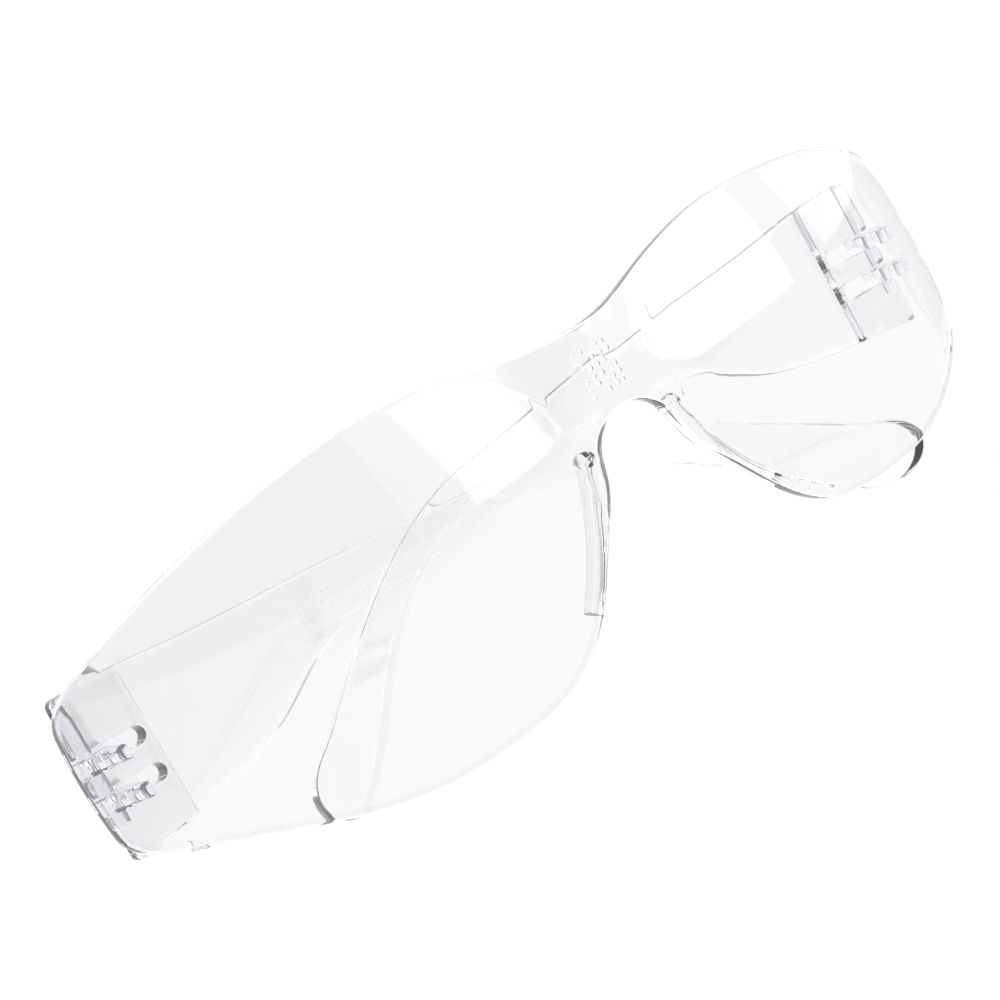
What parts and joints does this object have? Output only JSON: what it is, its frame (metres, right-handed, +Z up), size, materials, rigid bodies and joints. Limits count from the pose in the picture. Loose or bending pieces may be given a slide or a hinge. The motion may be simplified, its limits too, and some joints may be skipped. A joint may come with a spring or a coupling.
{
  "type": "clear frameless safety glasses",
  "caption": "Clear wraparound safety glasses: one-piece curved lens with raised bridge and nose fins, and slim folding temples on pinned knuckle hinges.",
  "frame": {"origin": "centre of the folded glasses in plan, at the height of their lowest point", "axes": "+X across the face, towards the wearer's left; +Y from the front of the lens back along the opened temples; +Z up as worn"},
  "size_m": [0.1482, 0.0472, 0.0515],
  "materials": {
    "clear_lens": "polished",
    "clear_temple": "polished",
    "clear_pin": "polished"
  },
  "bodies": {
    "lens": {"lens_shield": "clear_lens", "right_hinge_pin": "clear_pin", "left_hinge_pin": "clear_pin"},
    "right_temple_arm": {"right_temple": "clear_temple"},
    "left_temple_arm": {"left_temple": "clear_temple"}
  },
  "joints": [
    {"name": "right_temple_hinge", "type": "hinge", "parent": "lens", "child": "right_temple_arm", "pos_m": [0.0699, 0.01681, 0.02826], "axis": [0.0349, 0, 0.9994], "range_deg": [-90, 0]},
    {"name": "left_temple_hinge", "type": "hinge", "parent": "lens", "child": "left_temple_arm", "pos_m": [-0.0699, 0.01681, 0.02826], "axis": [0.0349, 0, 0.9994], "range_deg": [0, 85.7]}
  ]
}
